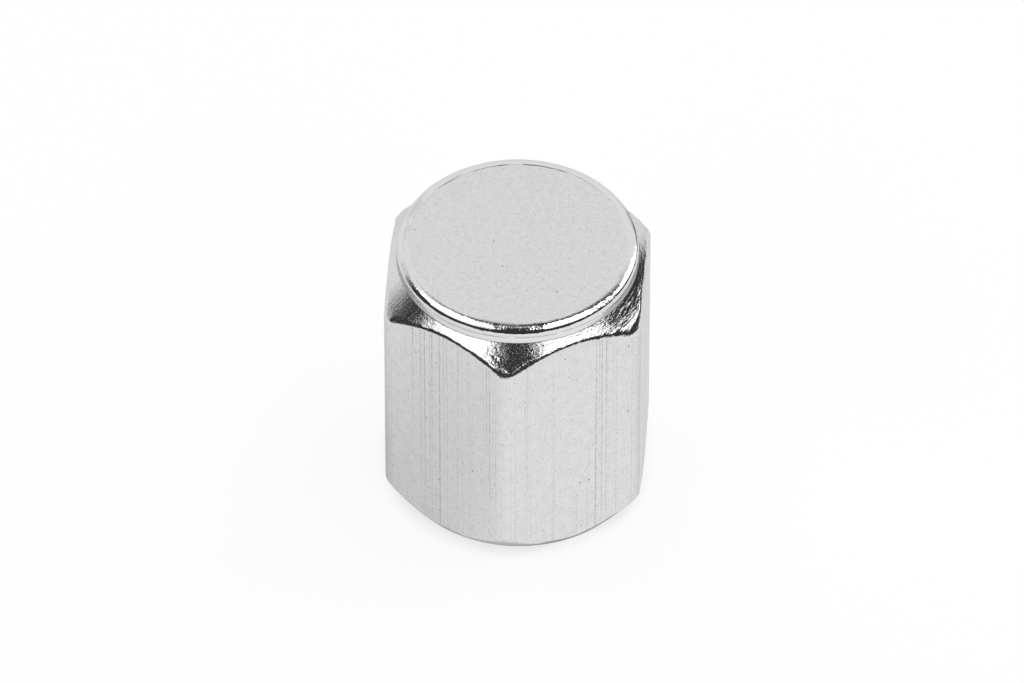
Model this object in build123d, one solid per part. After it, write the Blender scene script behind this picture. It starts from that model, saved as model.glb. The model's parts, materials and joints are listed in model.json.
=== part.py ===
from build123d import *

import math
import os

# Tyre valve cap, in millimetres: a screw cap turned from hexagon bar, with a rubber sealing washer inside.
# It stands on its open mouth. The origin is the centre of the foot, +Z runs up the screw axis, and one
# corner of the hexagon points along -Y.

# Threaded bore
thread_radius = 3.95  # at the roots of the thread, so that the stem's own thread fits inside the wall
thread_depth = 8.5  # from the foot to the washer's groove
mouth_lead = 0.35  # width of the 45 degree lead-in at the mouth
drill_point_radius = 1.1  # mark that the drill leaves in the middle of the bore's end
drill_point_angle = 118  # included angle of the drill's tip

# Sealing washer and its groove
washer_thickness = 1.2
washer_hole_radius = 1.7
washer_edge_round = 0.15
washer_clearance = 0.05  # between the washer and its groove, round its edge and below it
groove_depth = 0.25  # how far the groove is cut beyond the thread's roots

# Hexagon bar
sides = 6
wall_at_groove = 0.8  # metal left between the groove and the middle of a flat
corner_radius = 0.8  # rounding of the upright edges

# Turned ends
crown_thickness = 2.25  # metal above the bore's end
upper_cone_angle = 45  # from the axis
foot_cone_angle = 36  # from the axis
foot_inset = 0.1  # from a flat to the outer edge of the foot
edge_round = 0.3  # where the end cones meet the flats
boss_inset = 0.29  # from a flat to the wall of the boss
boss_height = 0.7
rim_edge_radius = 0.34  # tighter round of the rim, which leaves the wall of the boss
rim_edge_turn = 38  # degrees that it turns inwards
rim_crown_radius = 0.72  # flatter round of the rim, which runs onto the top
rim_crown_turn = 28  # degrees from the top at which it meets the tighter round

# Sizes that follow from the above
groove_radius = thread_radius + groove_depth
apothem = groove_radius + wall_at_groove
corner_reach = apothem / math.cos(math.pi / sides)
bore_end = thread_depth + washer_clearance + washer_thickness
cap_height = bore_end + crown_thickness
boss_foot = cap_height - boss_height
boss_radius = apothem - boss_inset
rim_edge_height = rim_edge_radius * math.sin(math.radians(rim_edge_turn))
rim_crown_height = rim_crown_radius * (1 - math.cos(math.radians(rim_crown_turn)))
rim_foot = cap_height - rim_crown_height - rim_edge_height
foot_radius = apothem - foot_inset
washer_radius = groove_radius - washer_clearance
drill_point_depth = drill_point_radius / math.tan(math.radians(drill_point_angle / 2))
upper_cone_height = (corner_reach - boss_radius) / math.tan(math.radians(upper_cone_angle))
foot_cone_height = (corner_reach - foot_radius) / math.tan(math.radians(foot_cone_angle))


def turned(*edges):
    """Solid of revolution about Z of a closed outline drawn in the XZ plane."""
    return revolve(make_face(Plane.XZ * Curve(edges)), Axis.Z)


def outside_of_cap():
    """Hexagon bar with rounded upright edges, turned at both ends, with the round boss on top."""
    bar = RegularPolygon(apothem, sides, major_radius=False, rotation=90)
    bar = fillet(bar.vertices(), corner_radius)
    bar = extrude(bar, cap_height)
    rim_edge = JernArc((boss_radius, rim_foot), (0, 1), rim_edge_radius, rim_edge_turn)
    onto_crown = Vector(-1, 0).rotate(Axis.Z, -rim_crown_turn)
    rim_crown = JernArc(rim_edge @ 1, onto_crown, rim_crown_radius, rim_crown_turn)
    foot_and_wall = Polyline(
        (0, cap_height),
        (0, 0),
        (foot_radius, 0),
        (corner_reach, foot_cone_height),
        (corner_reach, boss_foot - upper_cone_height),
        (boss_radius, boss_foot),
        rim_edge @ 0,
    )
    lathe_work = turned(foot_and_wall, rim_edge, rim_crown, Line(rim_crown @ 1, (0, cap_height)))
    cap = bar & lathe_work
    return fillet(edges_of_flats(cap), edge_round)


def edges_of_flats(cap):
    """The arcs where the two end cones meet the flats and the rounded upright edges."""
    return [
        edge
        for cone in cap.faces().filter_by(GeomType.CONE)
        for edge in cone.edges()
        if edge.geom_type != GeomType.CIRCLE
    ]


def bore_of_cap():
    """What is drilled, grooved and chamfered out of the cap from its foot."""
    outline = Polyline(
        (0, 0),
        (thread_radius + mouth_lead, 0),
        (thread_radius, mouth_lead),
        (thread_radius, thread_depth - groove_depth),
        (groove_radius, thread_depth),
        (groove_radius, bore_end),
        (drill_point_radius, bore_end),
        (0, bore_end + drill_point_depth),
        close=True,
    )
    return turned(outline)


def make_cap_body():
    return outside_of_cap() - bore_of_cap()


def make_sealing_washer():
    """Flat rubber ring that lies against the bore's end, held up by the groove's sloped shoulder."""
    ring = Circle(washer_radius) - Circle(washer_hole_radius)
    ring = extrude(Plane.XY.offset(bore_end - washer_thickness) * ring, washer_thickness)
    return fillet(ring.edges().filter_by(GeomType.CIRCLE), washer_edge_round)


os.makedirs("parts", exist_ok=True)
export_step(make_cap_body(), "parts/cap_body.step")
export_step(make_sealing_washer(), "parts/sealing_washer.step")
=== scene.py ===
import json
import math

import bpy
from mathutils import Euler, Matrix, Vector, noise


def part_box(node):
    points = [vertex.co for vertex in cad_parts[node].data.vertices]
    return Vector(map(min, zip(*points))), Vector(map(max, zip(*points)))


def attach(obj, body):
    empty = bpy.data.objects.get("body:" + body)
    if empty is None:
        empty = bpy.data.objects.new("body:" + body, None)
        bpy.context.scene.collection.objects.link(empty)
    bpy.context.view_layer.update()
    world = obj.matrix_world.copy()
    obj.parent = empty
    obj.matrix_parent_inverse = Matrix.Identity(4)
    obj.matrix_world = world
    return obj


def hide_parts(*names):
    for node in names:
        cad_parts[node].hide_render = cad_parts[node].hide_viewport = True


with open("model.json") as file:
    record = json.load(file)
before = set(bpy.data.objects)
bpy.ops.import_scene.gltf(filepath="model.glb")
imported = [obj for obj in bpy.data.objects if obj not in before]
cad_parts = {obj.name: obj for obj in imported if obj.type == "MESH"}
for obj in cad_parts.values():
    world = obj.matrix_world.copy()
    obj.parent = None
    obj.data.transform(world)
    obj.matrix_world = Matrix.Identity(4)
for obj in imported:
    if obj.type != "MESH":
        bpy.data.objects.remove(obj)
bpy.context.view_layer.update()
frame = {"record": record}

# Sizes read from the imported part, in metres
MM = 0.001
mounts = {mount["name"]: mount for mount in frame["record"]["mounts"]}
cap_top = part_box("cap_body")[1]
washer_low, washer_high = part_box("sealing_washer")
apothem = cap_top.x
cap_height = cap_top.z
thread_root = mounts["valve_thread"]["dims"]["r_mm"] * MM
bore_end = washer_high.z
washer_radius = washer_high.x

# Outside of the cap
SIDES = 6
corner_radius = 0.8 * MM
foot_inset = 0.1 * MM
foot_cone_angle = math.radians(36)  # from the axis
foot_runout = 0.06 * MM  # how far the lower cone is turned off the bar's axis, along +X
foot_round = 0.06 * MM
boss_inset = 0.29 * MM
boss_height = 0.7 * MM
boss_root_round = 0.04 * MM
crown_radius = 0.72 * MM
crown_turn = math.radians(28)
rim_edge_radius = 0.34 * MM
rim_edge_turn = math.radians(38)
top_line_width = 0.09 * MM
top_line_depth = 0.007 * MM
cone_end = 0.5 * MM  # about how far the cone runs out from the boss at the corners
cone_slope_at_boss = -0.07  # how the plating on the upper cone leaves the turned 45 degrees
cone_slope_at_end = 0.03
cone_slope_of_lip = 0.4  # added at the edge of the cone by a lip, which is highest at one side
lip_angle = math.radians(-8)
lip_narrowness = 12
lip_steepness = 7
upper_edge_on_flats = 0.27 * MM
upper_edge_on_corners = 0.7 * MM
lower_edge = 0.3 * MM
lower_edge_share = 3  # at most so many times the width of the lower cone

# How the plated edges waver: the share they change by, the number of waves round the cap, and a number that
# sets each pattern apart
upper_edge_waver = 0.6
upper_edge_waves = 90
upper_edge_pattern = 1
rim_edge_waver = 0.2
rim_edge_waves = 70
rim_edge_pattern = 2
top_line_waver = 1.3
top_line_waves = 40
top_line_pattern = 3

# Inside of the cap
mouth_lead = 0.35 * MM
groove_depth = 0.25 * MM
groove_floor = 8.5 * MM
drill_point_radius = 1.1 * MM
drill_point_half_angle = math.radians(59)
washer_hole_radius = 1.7 * MM
washer_edge_round = 0.15 * MM
thread_pitch = 25.4 / 32 * MM
thread_crest = 3.47 * MM
thread_crest_width = thread_pitch / 8
thread_flank_angle = math.radians(30)
thread_sink = 0.015 * MM  # how far the ridge is set into the wall of the bore
thread_end_gap = 0.05 * MM  # from the foot, and from the washer's groove

# Sizes that follow from these
boss_radius = apothem - boss_inset
boss_foot = cap_height - boss_height
foot_radius = apothem - foot_inset
groove_radius = thread_root + groove_depth
shoulder = groove_floor - groove_depth
corner_reach = (apothem - corner_radius) / math.cos(math.pi / SIDES) + corner_radius

# How finely the pieces are divided: upright columns round them, and steps along each stretch of a profile
columns_on_flat = 40
columns_on_corner = 16
thread_columns = 72  # in a turn
washer_columns = 144
top_steps = 8
top_line_steps = 2
crown_steps = 14
rim_edge_steps = 12
boss_wall_steps = 4
boss_root_steps = 5
cone_steps = 14
upper_edge_steps = 12
flat_steps = 8
lower_edge_steps = 8
foot_cone_steps = 4
foot_edge_steps = 6
foot_steps = 3
mouth_steps = 3
bore_steps = 8
groove_steps = 2
bore_end_steps = 4
drill_point_steps = 3
thread_flank_steps = 6
thread_crest_steps = 2
washer_edge_steps = 8
washer_side_steps = 6
cone_share_of_edge = 0.75  # of the upper edge's round, which has the finish of the cone
EIGHTH_TURN = math.pi / 4
QUARTER_TURN = math.pi / 2
sharp_from = math.radians(30)  # edges that turn by more than this are drawn sharp

# Finishes, as shares of the light they give back
CHROME = (0.75, 0.75, 0.752, 1)
CHROME_IN_LINES = (0.47, 0.47, 0.475, 1)
# Colour of real pits, and also of the painted shade at the root of the boss and along the foot
CHROME_IN_PITS_AND_SHADE = (0.28, 0.28, 0.285, 1)
DULL_METAL = (0.5, 0.5, 0.505, 1)
RUBBER = (0.028, 0.028, 0.03, 1)
RUBBER_BLOOM = (0.075, 0.075, 0.078, 1)
CHROME_EDGE_TINT = (0.75, 0.75, 0.75, 1)
WHITE = (1, 1, 1, 1)

# Marks on the finishes, in millimetres unless MM is named. Each fade is where a mark begins and where it is
# full
ring_height = 0.24  # of the ring that the lathe left, above the foot of the boss
rim_fade = (0.56, 0.61)  # heights above the foot of the boss, for its rim
crown_fade = (0.645, 0.67)  # and for the flatter, inner part of the rim
rubbed_angle = math.radians(-87)  # where the rim is rubbed dull
rubbed_fade = (4.34, 4.5)  # how far out towards that angle
nicked_angle = math.radians(-41)  # where the rim is nicked
nicked_fade = (4.52, 4.6)
wrinkled_angle = math.radians(-30)  # corner where the plating is thick and wrinkled
wrinkled_fade = (2.8, 4.8)
creased_angle = math.radians(-95.5)  # spot where it is creased a little
creased_radius = 5.1 * MM
creased_reach = (0.2, 0.5)  # from that spot, where the creases begin to fade and where they end
foot_shade_reach = (0.16, 0.26)  # above the foot, the same for the painted shade along the lower cone
BAR_MAP = "along_the_bar"  # millimetres round the hexagon and up from the foot


def steps(first, last, count):
    """Evenly spaced values from first to last, both included."""
    return [first + (last - first) * i / count for i in range(count + 1)]


def line(start, end, count):
    """Points on a straight stretch of a profile."""
    return list(zip(steps(start[0], end[0], count), steps(start[1], end[1], count)))


def arc(centre, radius, start_angle, end_angle, count):
    """Points on a round stretch of a profile."""
    return [
        (centre[0] + radius * math.cos(angle), centre[1] + radius * math.sin(angle))
        for angle in steps(start_angle, end_angle, count)
    ]


def outline_columns():
    """(angle, reach) of upright columns round the rounded hexagon, evenly spread on flats and corners."""
    columns = []
    half_flat = (apothem - corner_radius) * math.tan(math.pi / SIDES)
    for side in range(SIDES):
        facing = 2 * math.pi * side / SIDES
        on_flat = line((apothem, -half_flat), (apothem, half_flat), columns_on_flat)
        corner_centre = (apothem - corner_radius, half_flat)
        corner = arc(corner_centre, corner_radius, 0, 2 * math.pi / SIDES, columns_on_corner)
        for out, along in on_flat[:-1] + corner[:-1]:
            columns.append((facing + math.atan2(along, out), math.hypot(out, along)))
    return columns


def dish(angle, out, end):
    """Height of the plating over a straight cone, at that distance out from the wall of the boss, where the
    cone ends that far out."""
    rise_of_slope = cone_slope_at_end - cone_slope_at_boss
    bowl = cone_slope_at_boss * out + rise_of_slope * out ** 3 / (3 * cone_end ** 2)
    lip_slope = cone_slope_of_lip * max(0, math.cos(angle - lip_angle)) ** lip_narrowness
    return bowl + lip_slope * end * (out / end) ** lip_steepness / lip_steepness


def waver(angle, waves, pattern):
    """A smooth number about 0, between -1 and 1. It changes about so many times round the cap, in that
    pattern."""
    radius = waves / (2 * math.pi)
    return noise.noise(Vector((radius * math.cos(angle), radius * math.sin(angle), pattern)))


def boss_profile(angle):
    """Stretches of the profile from the middle of the top to the root of the boss."""
    rim_edge_change = rim_edge_waver * waver(angle, rim_edge_waves, rim_edge_pattern)
    rim_edge_round = rim_edge_radius * (1 + rim_edge_change)
    backness = (1 + math.sin(angle)) / 2
    line_change = top_line_waver * waver(angle, top_line_waves, top_line_pattern)
    line_depth = top_line_depth * backness * max(0, 1 + line_change)
    crown_foot = cap_height - crown_radius * (1 - math.cos(crown_turn))
    rim_edge_centre = (boss_radius - rim_edge_round, crown_foot - rim_edge_round * math.sin(rim_edge_turn))
    rim_edge = arc(rim_edge_centre, rim_edge_round, rim_edge_turn, 0, rim_edge_steps)
    crown_start = rim_edge[0][0] - crown_radius * math.sin(crown_turn)
    crown_centre = (crown_start, cap_height - crown_radius)
    crown = arc(crown_centre, crown_radius, QUARTER_TURN, QUARTER_TURN - crown_turn, crown_steps)
    root_centre = (boss_radius + boss_root_round, boss_foot + boss_root_round * math.tan(EIGHTH_TURN / 2))
    root = arc(root_centre, boss_root_round, math.pi, math.pi + EIGHTH_TURN, boss_root_steps)
    before_line = (crown_start - 2 * top_line_width, cap_height)
    line_edge = (crown_start - top_line_width, cap_height)
    line_bottom = (crown_start - top_line_width / 2, cap_height - line_depth)
    return [
        ("top", line((0, cap_height), before_line, top_steps)),
        ("top", [before_line, line_edge]),
        ("top", line(line_edge, line_bottom, top_line_steps)),
        ("boss", line(line_bottom, crown[0], top_line_steps)),
        ("boss", crown),
        ("boss", rim_edge),
        ("boss", line(rim_edge[-1], root[0], boss_wall_steps)),
        ("boss", root),
    ]


def side_profile(angle, reach, root_end):
    """Stretches of the profile from the root of the boss to the foot, where the hexagon reaches that far."""
    cornerness = (reach - apothem) / (corner_reach - apothem)
    upper = upper_edge_on_flats + (upper_edge_on_corners - upper_edge_on_flats) * cornerness
    upper *= 1 + upper_edge_waver * waver(angle, upper_edge_waves, upper_edge_pattern)
    upper_centre = (reach - upper, boss_foot - (reach - boss_radius) - upper * math.tan(EIGHTH_TURN / 2))
    foot_reach = foot_radius + foot_runout * math.cos(angle)
    foot_cone_top = (reach - foot_reach) / math.tan(foot_cone_angle)
    lower = min(lower_edge, lower_edge_share * (reach - foot_reach))
    lower_centre = (reach - lower, foot_cone_top + lower * math.tan(foot_cone_angle / 2))
    foot_turn = QUARTER_TURN - foot_cone_angle
    foot_centre = (foot_reach - foot_round * math.tan(foot_turn / 2), foot_round)
    turned_round = arc(upper_centre, upper, EIGHTH_TURN, 0, upper_edge_steps)
    turned_cone = line(root_end, turned_round[0], cone_steps)
    cone_start = root_end[0]
    cone_width = turned_cone[-1][0] - cone_start
    cone = [
        (radius, height + dish(angle, radius - cone_start, cone_width))
        for radius, height in turned_cone
    ]
    lift = cone[-1][1] - turned_cone[-1][1]
    upper_round = [(radius, height + lift) for radius, height in turned_round]
    lower_round = arc(lower_centre, lower, 0, -foot_cone_angle, lower_edge_steps)
    foot_edge = arc(foot_centre, foot_round, -foot_cone_angle, -QUARTER_TURN, foot_edge_steps)
    last_of_cone = round(upper_edge_steps * cone_share_of_edge)
    return [
        ("cone", cone),
        ("cone", upper_round[:last_of_cone + 1]),
        ("flat", upper_round[last_of_cone:]),
        ("flat", line(upper_round[-1], lower_round[0], flat_steps)),
        ("foot_cone", lower_round),
        ("foot_cone", line(lower_round[-1], foot_edge[0], foot_cone_steps)),
        ("foot_cone", foot_edge),
    ]


def bore_profile(foot_end):
    """Stretches of the profile from the foot, up the bore, to the point of the drill's mark."""
    mouth = (thread_root + mouth_lead, 0)
    bore_start = (thread_root, mouth_lead)
    thread_top = (thread_root, shoulder)
    groove_low = (groove_radius, groove_floor)
    groove_high = (groove_radius, bore_end)
    mark = (drill_point_radius, bore_end)
    mark_point = (0, bore_end + drill_point_radius / math.tan(drill_point_half_angle))
    return [
        ("foot", line(foot_end, mouth, foot_steps)),
        ("bore", line(mouth, bore_start, mouth_steps)),
        ("bore", line(bore_start, thread_top, bore_steps)),
        ("bore", line(thread_top, groove_low, groove_steps)),
        ("bore", line(groove_low, groove_high, groove_steps)),
        ("bore", line(groove_high, mark, bore_end_steps)),
        ("bore", line(mark, mark_point, drill_point_steps)),
    ]


def cap_profile(angle, reach):
    """Points of the cap's whole profile as (radius, height), for a column at that angle where the hexagon
    reaches that far, and the finish of each step from one point to the next."""
    stretches = boss_profile(angle)
    stretches += side_profile(angle, reach, stretches[-1][1][-1])
    stretches += bore_profile(stretches[-1][1][-1])
    points = stretches[0][1][:1]
    finishes = []
    for finish, stretch in stretches:
        points += stretch[1:]
        finishes += [finish] * (len(stretch) - 1)
    return points, finishes


class Wire:
    """A node's output that takes part in arithmetic: each operator adds its Math node."""

    def __init__(self, nodes, socket):
        self.nodes = nodes
        self.socket = socket

    def __add__(self, other):
        return self.nodes.maths("ADD", self, other)

    def __radd__(self, other):
        return self.nodes.maths("ADD", other, self)

    def __sub__(self, other):
        return self.nodes.maths("SUBTRACT", self, other)

    def __rsub__(self, other):
        return self.nodes.maths("SUBTRACT", other, self)

    def __mul__(self, other):
        return self.nodes.maths("MULTIPLY", self, other)

    def __rmul__(self, other):
        return self.nodes.maths("MULTIPLY", other, self)


class Nodes:
    """The node tree of a finish, the floor or the studio."""

    def __init__(self, tree):
        self.tree = tree
        self.tree.nodes.clear()

    def add(self, kind, settings=None, inputs=None, output=None):
        """A node with its settings and the values or wires of its inputs. Gives the named output, or the
        first one."""
        node = self.tree.nodes.new(kind)
        for name, value in (settings or {}).items():
            setattr(node, name, value)
        sockets = {socket.identifier: socket for socket in node.inputs}
        for name, value in (inputs or {}).items():
            if isinstance(value, Wire):
                self.tree.links.new(value.socket, sockets[name])
            else:
                sockets[name].default_value = value
        outputs = {socket.identifier: socket for socket in node.outputs}
        if not outputs:
            return None
        return Wire(self, outputs[output] if output else node.outputs[0])

    def maths(self, operation, first, second):
        return self.add("ShaderNodeMath", {"operation": operation}, {"Value": first, "Value_001": second})

    def rise(self, value, low, high):
        """0 below low, 1 above high and a smooth rise between them."""
        reach = {"Value": value, "From Min": low, "From Max": high}
        return self.add("ShaderNodeMapRange", {"interpolation_type": "SMOOTHSTEP"}, reach)

    def parts(self, vector):
        """The three numbers of a vector."""
        return [self.add("ShaderNodeSeparateXYZ", None, {"Vector": vector}, axis) for axis in "XYZ"]

    def vector(self, x, y, z):
        return self.add("ShaderNodeCombineXYZ", None, {"X": x, "Y": y, "Z": z})

    def times(self, vector, factors):
        """A vector with each of its numbers multiplied by its own factor."""
        inputs = {"Vector": vector, "Vector_001": factors}
        return self.add("ShaderNodeVectorMath", {"operation": "MULTIPLY"}, inputs)

    def along(self, vector, direction):
        """How far a vector goes in a direction."""
        inputs = {"Vector": vector, "Vector_001": direction}
        return self.add("ShaderNodeVectorMath", {"operation": "DOT_PRODUCT"}, inputs, "Value")

    def place(self):
        """The place on the object in millimetres."""
        return self.times(self.add("ShaderNodeTexCoord", output="Object"), (1 / MM, 1 / MM, 1 / MM))

    def from_axis(self, place):
        """Distance of a place from the screw axis."""
        across = {"Vector": self.times(place, (1, 1, 0))}
        return self.add("ShaderNodeVectorMath", {"operation": "LENGTH"}, across, "Value")

    def towards(self, place, angle):
        """How far out from the screw axis a place lies, towards an angle round it."""
        return self.along(place, around_axis(angle, 1, 0))

    def from_spot(self, place, spot):
        """Distance of a place from a spot."""
        ends = {"Vector": place, "Vector_001": spot}
        return self.add("ShaderNodeVectorMath", {"operation": "DISTANCE"}, ends, "Value")

    def noise(self, place, per_mm, detail=2, roughness=0.5):
        """Smooth noise about 0.5 that changes about so many times a millimetre along X, Y and Z."""
        inputs = {"Vector": self.times(place, per_mm), "Scale": 1, "Detail": detail, "Roughness": roughness}
        return self.add("ShaderNodeTexNoise", {"noise_dimensions": "3D"}, inputs)

    def pits(self, place, per_mm, size, share):
        """Small round spots. There are so many cells a millimetre, and that share of them has a spot."""
        cells = {"Vector": self.times(place, per_mm), "Scale": 1, "Randomness": 1}
        settings = {"voronoi_dimensions": "3D", "feature": "F1"}
        spot = 1 - self.rise(self.add("ShaderNodeTexVoronoi", settings, cells), size / 2, size)
        drawn = self.parts(self.add("ShaderNodeTexVoronoi", settings, cells, "Color"))[0]
        return spot * self.maths("LESS_THAN", drawn, share)

    def blend(self, share, first, second):
        """A colour that goes from the first to the second as share goes from 0 to 1."""
        inputs = {"Factor_Float": share, "A_Color": first, "B_Color": second}
        return self.add("ShaderNodeMix", {"data_type": "RGBA"}, inputs, "Result_Color")

    def bump(self, height, depth):
        """A normal from a height of 0 to 1 that stands for that depth."""
        return self.add("ShaderNodeBump", None, {"Height": height, "Distance": depth, "Strength": 1})

    def mix(self, share, first, second):
        """A look that goes from the first to the second as share goes from 0 to 1."""
        return self.add("ShaderNodeMixShader", None, {"Fac": share, "Shader": first, "Shader_001": second})

    def show(self, look):
        self.add("ShaderNodeOutputMaterial", None, {"Surface": look})


def new_finish(name):
    """A finish and its node tree, which is still empty."""
    finish = bpy.data.materials.new(name)
    finish.use_nodes = True
    return finish, Nodes(finish.node_tree)


def metal(nodes, colour, roughness, normal):
    """The look of plated metal. The edge tint dims what it mirrors at a glancing angle."""
    return nodes.add("ShaderNodeBsdfPrincipled", None, {
        "Base Color": colour,
        "Metallic": 1,
        "Roughness": roughness,
        "Specular Tint": CHROME_EDGE_TINT,
        "Normal": normal,
    })


def satin_top():
    """The top of the boss: satin plating with a fine mottle, dull specks and a few pits."""
    finish, nodes = new_finish("satin_top")
    place = nodes.place()
    mottle = nodes.noise(place, (4, 4, 1))
    grain = nodes.noise(place, (14, 12, 1), detail=3, roughness=0.75)
    specks = nodes.pits(place, (9, 8, 0), size=0.36, share=0.5)
    pits = nodes.pits(place, (1.9, 1.9, 0), size=0.1, share=0.3)
    stain = 0.29 * nodes.rise(grain, 0.42, 0.68) + 0.1 * nodes.rise(mottle, 0.4, 0.65) + 0.4 * specks
    colour = nodes.blend(stain, CHROME, CHROME_IN_LINES)
    colour = nodes.blend(0.8 * pits, colour, CHROME_IN_PITS_AND_SHADE)
    normal = nodes.bump(mottle + 0.3 * grain - 0.8 * pits, depth=0.007 * MM)
    nodes.show(metal(nodes, colour, 0.44 + 0.08 * grain, normal))
    return finish


def turned_boss():
    """The rim and wall of the boss: bright, with a ring that the lathe left and a line of painted shade in
    the crease at its root. The rim is rubbed in one place and nicked in another."""
    finish, nodes = new_finish("turned_boss")
    place = nodes.place()
    x, y, z = nodes.parts(place)
    wander = nodes.noise(place, (0.9, 0.9, 0), detail=3, roughness=0.6)
    rings = nodes.noise(nodes.vector(x, y, z + 0.1 * wander), (0.3, 0.3, 16), detail=2, roughness=0.6)
    peel = nodes.noise(place, (8, 8, 8), detail=2, roughness=0.6)
    ripple = nodes.noise(place, (2.6, 2.6, 4))
    height = z - boss_foot / MM
    from_ring = nodes.maths("ABSOLUTE", height - ring_height - 0.12 * wander, 0)
    ring = (1 - nodes.rise(from_ring, 0.012, 0.03)) * nodes.rise(ripple, 0.3, 0.55)
    # Painted shade: a thin dark line in the crease at the root, where the wall meets the cone
    root = 1 - nodes.rise(height, 0.015, 0.05)
    # dull mixes the lathe's marks with the painted shade of the root, in colour and in roughness
    dull = nodes.maths("MAXIMUM", ring, 0.6 * root) + 0.3 * nodes.rise(rings, 0.54, 0.66)
    rubbed = nodes.rise(height, *crown_fade) * nodes.rise(nodes.towards(place, rubbed_angle), *rubbed_fade)
    nicked = nodes.rise(height, *rim_fade) * nodes.rise(nodes.towards(place, nicked_angle), *nicked_fade)
    nicks = nicked * (nodes.noise(place, (6, 6, 2), detail=1) - 0.5)
    colour = nodes.blend(0.8 * dull, CHROME, CHROME_IN_PITS_AND_SHADE)
    normal = nodes.bump(ripple + (0.45 + 0.6 * rubbed) * (peel - 0.5) + 10 * nicks, depth=0.01 * MM)
    nodes.show(metal(nodes, colour, 0.06 + 0.1 * dull + 0.12 * rubbed, normal))
    return finish


def orange_peel_cone():
    """The turned cone above the flats: bright plating with the peel of a thick deposit and dull specks. At
    one corner the deposit is wrinkled, and by another it is creased in a small spot."""
    finish, nodes = new_finish("orange_peel_cone")
    place = nodes.place()
    x, y, _ = nodes.parts(place)
    peel = nodes.noise(place, (9, 9, 7), detail=3, roughness=0.75)
    dimples = nodes.noise(place, (2.6, 2.6, 2.6), detail=1)
    across = nodes.vector(x, y, nodes.from_axis(place))
    wrinkles = nodes.noise(across, (1.8, 1.8, 8), detail=3, roughness=0.6)
    wrinkled = nodes.rise(nodes.towards(place, wrinkled_angle), *wrinkled_fade)
    creased_height = boss_foot - (creased_radius - boss_radius)
    creased_spot = around_axis(creased_angle, creased_radius / MM, creased_height / MM)
    creased = 1 - nodes.rise(nodes.from_spot(place, creased_spot), *creased_reach)
    creases = creased * (nodes.noise(place, (6, 2.5, 6), detail=1) - 0.5)
    specks = nodes.rise(nodes.noise(place, (13, 13, 16), detail=3, roughness=0.7), 0.48, 0.66)
    colour = nodes.blend(0.4 * nodes.rise(peel, 0.52, 0.66), CHROME, CHROME_IN_LINES)
    relief = peel + 0.5 * dimples + (0.5 + 2.5 * wrinkled) * wrinkles + 2.5 * creases
    normal = nodes.bump(relief, depth=0.009 * MM)
    nodes.show(metal(nodes, colour, 0.07 + (0.22 - 0.16 * wrinkled) * specks, normal))
    return finish


def foot_cone_painted_shade():
    """The cone under the flats: plated like them, with painted shade along its foot, strongest at the right.
    """
    finish, nodes = new_finish("foot_cone_painted_shade")
    place = nodes.place()
    peel = nodes.noise(place, (9, 9, 7), detail=3, roughness=0.65)
    shade_edge_noise = nodes.noise(place, (1.5, 1.5, 6), detail=3, roughness=0.6)
    x, _, z = nodes.parts(place)
    # Painted shade: darker within about 0.16 to 0.26 mm of the floor, reaching higher towards the right
    painted_foot_shade = 1 - nodes.rise(z - 0.06 * shade_edge_noise - 0.09 * nodes.maths("MAXIMUM", x, 0), *foot_shade_reach)
    colour = nodes.blend(0.6 * nodes.rise(peel, 0.4, 0.7), CHROME, CHROME_IN_LINES)
    colour = nodes.blend(0.75 * painted_foot_shade, colour, CHROME_IN_PITS_AND_SHADE)
    nodes.show(metal(nodes, colour, 0.12 + 0.14 * peel, nodes.bump(peel, depth=0.006 * MM)))
    return finish


def drawn_flats():
    """The flats of the drawn bar: upright die lines in bands, a fine grain and scattered pits."""
    finish, nodes = new_finish("drawn_flats")
    place = nodes.add("ShaderNodeUVMap", {"uv_map": BAR_MAP})
    fine = nodes.noise(place, (11, 0.012, 0), detail=2, roughness=0.6)
    band = nodes.noise(place, (0.7, 0.03, 0), detail=1)
    broken = nodes.noise(place, (8, 3.2, 0), detail=3, roughness=0.7)
    grain = nodes.noise(place, (11, 8, 0), detail=3, roughness=0.7)
    cloud = nodes.noise(place, (2.6, 1.9, 0), detail=2)
    specks = nodes.pits(place, (9, 8, 0), size=0.36, share=0.5)
    pits = nodes.pits(place, (1.9, 1.4, 0), size=0.1, share=0.4)
    lines = nodes.rise(fine, 0.52, 0.66) * nodes.rise(band, 0.36, 0.54) * nodes.rise(broken, 0.25, 0.6)
    stain = 0.2 * nodes.rise(grain, 0.4, 0.75) + 0.1 * nodes.rise(cloud, 0.35, 0.65) + 0.5 * specks
    colour = nodes.blend(lines + stain, CHROME, CHROME_IN_LINES)
    colour = nodes.blend(0.8 * pits, colour, CHROME_IN_PITS_AND_SHADE)
    normal = nodes.bump(grain - lines - 1.4 * pits, depth=0.0015 * MM)
    nodes.show(metal(nodes, colour, 0.15 + 0.12 * grain + 0.1 * lines, normal))
    return finish


def faced_foot():
    """The faced ring that the cap stands on, with fine rings round the bore."""
    finish, nodes = new_finish("faced_foot")
    place = nodes.place()
    x, y, _ = nodes.parts(place)
    across = nodes.vector(x, y, nodes.from_axis(place))
    rings = nodes.noise(across, (0.3, 0.3, 11), detail=3, roughness=0.6)
    colour = nodes.blend(nodes.rise(rings, 0.4, 0.7), CHROME, CHROME_IN_LINES)
    nodes.show(metal(nodes, colour, 0.2 + 0.2 * rings, nodes.bump(rings, depth=0.01 * MM)))
    return finish


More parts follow.
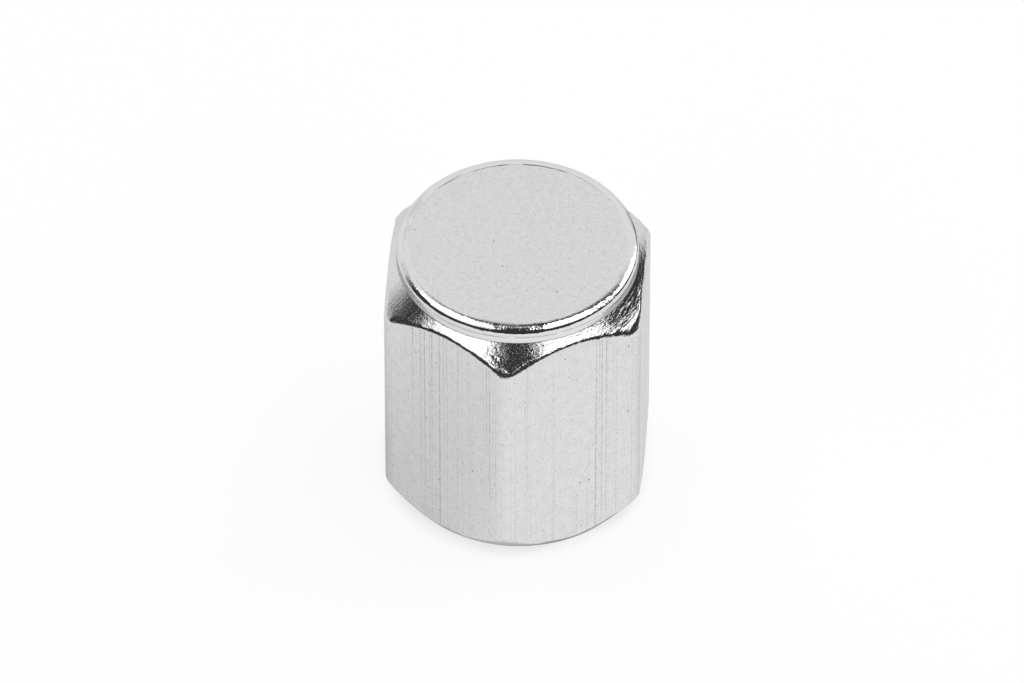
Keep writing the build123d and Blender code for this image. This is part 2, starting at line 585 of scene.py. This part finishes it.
def bored_wall():
    """The inside of the bore: thinly plated and dull, with rings from the boring tool."""
    finish, nodes = new_finish("bored_wall")
    place = nodes.place()
    x, y, z = nodes.parts(place)
    slanted = nodes.vector(x, y, z + nodes.from_axis(place))
    rings = nodes.noise(slanted, (0.4, 0.4, 9), detail=3, roughness=0.6)
    stain = nodes.noise(place, (0.8, 0.8, 0.8), detail=3)
    colour = nodes.blend(nodes.rise(stain, 0.35, 0.7), DULL_METAL, CHROME_IN_LINES)
    nodes.show(metal(nodes, colour, 0.28 + 0.2 * stain, nodes.bump(rings, depth=0.01 * MM)))
    return finish


def cut_thread():
    """The thread: bright on its flanks, with the fine lines and dull streaks that the tap left."""
    finish, nodes = new_finish("cut_thread")
    place = nodes.place()
    x, y, z = nodes.parts(place)
    slanted = nodes.vector(x, y, z + nodes.from_axis(place))
    lines = nodes.noise(slanted, (0.5, 0.5, 22), detail=3, roughness=0.6)
    streaks = nodes.noise(place, (1.6, 1.6, 5), detail=3, roughness=0.6)
    dull = 0.6 * nodes.rise(lines, 0.45, 0.65) + 0.4 * nodes.rise(streaks, 0.5, 0.7)
    colour = nodes.blend(dull, CHROME, DULL_METAL)
    nodes.show(metal(nodes, colour, 0.18 + 0.2 * dull, nodes.bump(lines + 0.5 * streaks, depth=0.01 * MM)))
    return finish


def moulded_rubber():
    """The sealing washer: black rubber with a fine matt grain and a faint bloom."""
    finish, nodes = new_finish("moulded_rubber")
    place = nodes.place()
    grain = nodes.noise(place, (12, 12, 12), detail=3, roughness=0.6)
    bloom = nodes.noise(place, (0.9, 0.9, 0.9), detail=3)
    shader = nodes.add("ShaderNodeBsdfPrincipled", None, {
        "Base Color": nodes.blend(nodes.rise(bloom, 0.45, 0.75), RUBBER, RUBBER_BLOOM),
        "Roughness": 0.55 + 0.3 * grain,
        "Normal": nodes.bump(grain, depth=0.012 * MM),
    })
    nodes.show(shader)
    return finish


def around_axis(angle, radius, height):
    """A point at that angle round the screw axis."""
    return (radius * math.cos(angle), radius * math.sin(angle), height)


def skin(rows, rows_close):
    """Points and faces of a surface through rows of points. Each row closes on itself, and where the rows
    close too, the last is joined to the first."""
    across = len(rows[0])
    points = [point for row in rows for point in row]
    faces = []
    for row in range(len(rows) if rows_close else len(rows) - 1):
        here = row * across
        there = (row + 1) % len(rows) * across
        for column in range(across):
            following = (column + 1) % across
            faces.append((here + column, there + column, there + following, here + following))
    return points, faces


def make_piece(name, points, faces, finishes):
    """A piece of the cap that moves with it."""
    mesh = bpy.data.meshes.new(name)
    mesh.from_pydata(points, [], faces)
    mesh.polygons.foreach_set("use_smooth", [True] * len(faces))
    mesh.set_sharp_from_angle(angle=sharp_from)
    for finish in finishes:
        mesh.materials.append(finish)
    piece = bpy.data.objects.new(name, mesh)
    bpy.context.scene.collection.objects.link(piece)
    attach(piece, "root")
    return piece


def make_cap(finishes):
    """The plated cap: the hexagon's columns carried along the profile, closed at the middle of each end."""
    columns = outline_columns()
    around = len(columns)
    profiles = [cap_profile(angle, reach) for angle, reach in columns]
    first_points, step_finishes = profiles[0]
    rows = []
    for step in range(1, len(first_points) - 1):
        row = [around_axis(angle, *points[step]) for (angle, _), (points, _) in zip(columns, profiles)]
        rows.append(row)
    points, faces = skin(rows, rows_close=False)
    face_finishes = [finish for finish in step_finishes[1:-1] for _ in columns]
    last_row = len(points) - around
    top_middle, bore_middle = len(points), len(points) + 1
    points += [around_axis(0, *first_points[0]), around_axis(0, *first_points[-1])]
    for column in range(around):
        following = (column + 1) % around
        faces.append((top_middle, column, following))
        faces.append((bore_middle, last_row + following, last_row + column))
        face_finishes += [step_finishes[0], step_finishes[-1]]
    cap = make_piece("plated_cap", points, faces, finishes.values())
    names = list(finishes)
    cap.data.polygons.foreach_set("material_index", [names.index(finish) for finish in face_finishes])
    map_the_bar(cap.data, columns, len(rows))
    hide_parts("cap_body")


def map_the_bar(mesh, columns, row_count):
    """Gives the faces between the rows their places along the bar. The middles of the two ends need none."""
    outline = [around_axis(angle, reach, 0) for angle, reach in columns]
    run = [0]
    for here, there in zip(outline, outline[1:] + outline[:1]):
        run.append(run[-1] + math.dist(here, there))
    alongs = []
    for here, there in zip(run, run[1:]):
        alongs += [here, here, there, there]
    bar_map = mesh.uv_layers.new(name=BAR_MAP)
    for loop, along in zip(mesh.loops, alongs * (row_count - 1)):
        height = mesh.vertices[loop.vertex_index].co.z
        bar_map.uv[loop.index].vector = (along / MM, height / MM)


def ridge_radius(radius, height):
    """Radius of a point on the thread's ridge, cut back by the lead-in of the mouth and by the shoulder of
    the groove, and set into the wall where that leaves nothing."""
    cut = max(thread_root + mouth_lead - height, thread_root + height - shoulder)
    wall = max(thread_root, cut)
    left = max(radius, cut)
    return left if left < wall else wall + thread_sink


def make_thread(finish):
    """The right-handed valve thread: the section of its ridge carried up the bore along a helix."""
    half_crest = thread_crest_width / 2
    half_foot = half_crest + (thread_root - thread_crest) * math.tan(thread_flank_angle)
    upper_flank = line((half_foot, thread_root), (half_crest, thread_crest), thread_flank_steps)
    crest = line((half_crest, thread_crest), (-half_crest, thread_crest), thread_crest_steps)
    lower_flank = line((-half_crest, thread_crest), (-half_foot, thread_root), thread_flank_steps)
    section = upper_flank + crest[1:] + lower_flank[1:]
    first_height = half_foot + thread_end_gap
    turns = (groove_floor - 2 * first_height) / thread_pitch
    rows = []
    for turn in steps(0, turns, round(turns * thread_columns)):
        middle = first_height + turn * thread_pitch
        row = []
        for offset, radius in section:
            height = middle + offset
            row.append(around_axis(2 * math.pi * turn, ridge_radius(radius, height), height))
        rows.append(row)
    points, faces = skin(rows, rows_close=False)
    faces.append(tuple(range(len(section))))
    faces.append(tuple(reversed(range(len(points) - len(section), len(points)))))
    make_piece("valve_thread", points, faces, [finish])


def make_washer(finish):
    """The sealing washer: a flat ring with rounded edges."""
    inner = washer_hole_radius + washer_edge_round
    outer = washer_radius - washer_edge_round
    low = washer_low.z + washer_edge_round
    high = washer_high.z - washer_edge_round
    corners = [(outer, high), (outer, low), (inner, low), (inner, high)]
    edges = []
    for index, corner in enumerate(corners):
        start = QUARTER_TURN * (1 - index)
        edges.append(arc(corner, washer_edge_round, start, start - QUARTER_TURN, washer_edge_steps))
    section = []
    for edge, following in zip(edges, edges[1:] + edges[:1]):
        section += edge + line(edge[-1], following[0], washer_side_steps)[1:-1]
    angles = steps(0, 2 * math.pi, washer_columns)[:-1]
    rows = [[around_axis(angle, *point) for angle in angles] for point in section]
    points, faces = skin(rows, rows_close=True)
    washer = make_piece("rubber_washer", points, faces, [finish])
    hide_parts("sealing_washer")


make_cap({
    "top": satin_top(),
    "boss": turned_boss(),
    "cone": orange_peel_cone(),
    "foot_cone": foot_cone_painted_shade(),
    "flat": drawn_flats(),
    "foot": faced_foot(),
    "bore": bored_wall(),
})
make_thread(cut_thread())
make_washer(moulded_rubber())

# Camera at the photograph's viewing angle
camera_azimuth = math.radians(4.7)
camera_elevation = math.radians(46.29)
camera_distance = 510 * MM
view_width = 40.02 * MM
aim_right = -0.22 * MM
aim_height = 6.478 * MM
sensor_width = 36  # in the millimetres that Blender's lenses have
nearest_seen = 1 * MM
farthest_seen = 10

# Studio, with its directions taken from the camera's side
to_right = Vector((math.cos(camera_azimuth), math.sin(camera_azimuth), 0))
to_back = Vector((-math.sin(camera_azimuth), math.cos(camera_azimuth), 0))
upwards = Vector((0, 0, 1))


def make_camera():
    """A long lens that shows the cap as the photograph does."""
    camera = bpy.data.objects.new("camera", bpy.data.cameras.new("camera"))
    bpy.context.scene.collection.objects.link(camera)
    towards_camera = upwards * math.sin(camera_elevation) - to_back * math.cos(camera_elevation)
    aim = to_right * aim_right + upwards * aim_height
    camera.location = aim + towards_camera * camera_distance
    camera.rotation_mode = "QUATERNION"
    camera.rotation_quaternion = (-towards_camera).to_track_quat("-Z", "Y")
    camera.data.sensor_width = sensor_width
    camera.data.lens = sensor_width * camera_distance / view_width
    camera.data.clip_start = nearest_seen
    camera.data.clip_end = farthest_seen
    bpy.context.scene.camera = camera


# Floor: how far it reaches from the cap, in metres, and how much of its look is plain white, not its shading
floor_front = 0.042
floor_back = 0.5
floor_left = 0.032
floor_right = 0.06
floor_white = (0.98, 0.98, 0.98, 1)
white_for_camera = 0.88
white_at_foot = 0.72
foot_shadow_start = 5.0 * MM  # from the cap's axis
foot_shadow_end = 5.7 * MM
white_for_metal_left = 0.14  # the same for what the metal mirrors
white_for_metal_right = 0.98
white_for_metal_at_foot = 0.5
metal_shadow_start = 5.0 * MM
metal_shadow_end = 5.2 * MM
metal_blend_left = -9 * MM  # where the floor's look in the metal goes over from left to right
metal_blend_right = 3 * MM


def make_floor():
    """A plain white floor that ends a little in front of the cap and keeps its faint shadow."""
    front = [to_right * side - to_back * floor_front for side in (-floor_left, floor_right)]
    back = [to_right * side + to_back * floor_back for side in (floor_right, -floor_left)]
    mesh = bpy.data.meshes.new("floor")
    mesh.from_pydata(front + back, [], [(0, 1, 2, 3)])
    finish, nodes = new_finish("white_floor")
    place = nodes.place()
    from_axis = nodes.from_axis(place)
    fade = nodes.rise(from_axis, foot_shadow_start / MM, foot_shadow_end / MM)
    metal_fade = nodes.rise(from_axis, metal_shadow_start / MM, metal_shadow_end / MM)
    rays = ("Is Camera Ray", "Is Glossy Ray", "Is Transmission Ray")
    camera_ray, glossy_ray, transmission_ray = (nodes.add("ShaderNodeLightPath", output=ray) for ray in rays)
    paper = nodes.add("ShaderNodeBsdfDiffuse", None, {"Color": floor_white})
    white = nodes.add("ShaderNodeEmission", None, {"Color": WHITE, "Strength": 1})
    seen = camera_ray * (white_at_foot + (white_for_camera - white_at_foot) * fade)
    side = nodes.rise(nodes.parts(place)[0], metal_blend_left / MM, metal_blend_right / MM)
    mirrored = white_for_metal_left + (white_for_metal_right - white_for_metal_left) * side
    mirrored = white_for_metal_at_foot + (mirrored - white_for_metal_at_foot) * metal_fade
    share = seen + mirrored * nodes.maths("MAXIMUM", glossy_ray, transmission_ray)
    nodes.show(nodes.mix(share, paper, white))
    mesh.materials.append(finish)
    floor = bpy.data.objects.new("floor", mesh)
    bpy.context.scene.collection.objects.link(floor)


# Room, as it lies in each direction from the cap. Each fade is where an edge begins and where it ends, as a
# share of a direction's length
backdrop_light = 0.93
dark_of_room = 0.045
backdrop_rise = 1.7  # height of the white backdrop's top edge for each unit of its distance
backdrop_top_fade = (-0.2, 0.42)
backdrop_side_fade = (0.1, 0.5)
left_wrap = 0.3  # how much further the backdrop comes round at the left, near its top
left_wrap_fade = (0.15, 0.35)
left_wrap_height = (0.7, 0.8)
right_gap_turn = 0.4  # how far behind the cap the dark gap at the right of the backdrop begins
right_gap_fade = (0, 0.25)
right_gap_top = (0.3, 0.5)


def make_room():
    """A dark room with a wide white backdrop behind the cap, which comes further round high at the left and
    is cut off low at the right. The camera itself sees plain white."""
    world = bpy.data.worlds.new("studio")
    world.use_nodes = True
    bpy.context.scene.world = world
    nodes = Nodes(world.node_tree)
    direction = nodes.add("ShaderNodeTexCoord", output="Generated")
    height = nodes.along(direction, upwards)
    at_left = nodes.rise(nodes.along(direction, -to_right), *left_wrap_fade)
    high_left = nodes.rise(height, *left_wrap_height) * at_left
    behind = nodes.along(direction, to_back) + left_wrap * high_left
    under_top = nodes.rise(backdrop_rise * behind - height, *backdrop_top_fade)
    right_gap = nodes.rise(nodes.along(direction, to_right - to_back * right_gap_turn), *right_gap_fade)
    low_gap = right_gap * (1 - nodes.rise(height, *right_gap_top))
    backdrop = under_top * nodes.rise(behind, *backdrop_side_fade) * (1 - low_gap)
    light = dark_of_room + (backdrop_light - dark_of_room) * backdrop
    room = nodes.add("ShaderNodeBackground", None, {"Color": WHITE, "Strength": light})
    white = nodes.add("ShaderNodeBackground", None, {"Color": WHITE, "Strength": 1})
    camera_ray = nodes.add("ShaderNodeLightPath", output="Is Camera Ray")
    nodes.add("ShaderNodeOutputWorld", None, {"Surface": nodes.mix(camera_ray, room, white)})


def softbox(name, light, place, size, facing):
    """A rectangular lamp that gives that much light, where a white floor in full light gives 1."""
    lamp = bpy.data.objects.new(name, bpy.data.lights.new(name, "AREA"))
    lamp.data.shape = "RECTANGLE"
    lamp.data.size, lamp.data.size_y = size
    lamp.data.energy = math.pi * size[0] * size[1] * light
    lamp.location = place
    lamp.rotation_mode = "QUATERNION"
    lamp.rotation_quaternion = facing
    lamp.visible_camera = False
    bpy.context.scene.collection.objects.link(lamp)


def overhead_softbox(name, light, right, back):
    """A softbox a metre above the cap that faces down. Right and back are its reaches, in metres."""
    place = to_right * sum(right) / 2 + to_back * sum(back) / 2 + upwards
    size = (right[1] - right[0], back[1] - back[0])
    softbox(name, light, place, size, Euler((0, 0, camera_azimuth)).to_quaternion())


def standing_softbox(name, light, azimuths, elevations):
    """A softbox a metre away that faces the cap, between these azimuths and elevations in degrees,
    with azimuth 0 at the camera's side and 90 at its right."""
    azimuth = math.radians(sum(azimuths) / 2)
    elevation = math.radians(sum(elevations) / 2)
    level = to_right * math.sin(azimuth) - to_back * math.cos(azimuth)
    direction = level * math.cos(elevation) + upwards * math.sin(elevation)
    width = 2 * math.tan(math.radians(azimuths[1] - azimuths[0]) / 2) * math.cos(elevation)
    height = 2 * math.tan(math.radians(elevations[1] - elevations[0]) / 2)
    softbox(name, light, direction, (width, height), (-direction).to_track_quat("-Z", "Y"))


make_camera()
make_floor()
make_room()
overhead_softbox("left_overhead", light=2.25, right=(-0.68, -0.13), back=(-0.15, 0.46))
overhead_softbox("right_overhead", light=2.55, right=(0.125, 0.8), back=(-0.3, 0.38))
standing_softbox("left_front", light=2.6, azimuths=(-82, -23), elevations=(30, 46))
standing_softbox("right_front", light=2.85, azimuths=(21, 80), elevations=(31, 46))
standing_softbox("right_behind", light=2.5, azimuths=(90, 143), elevations=(30, 52))
bpy.context.scene.view_settings.view_transform = "Standard"
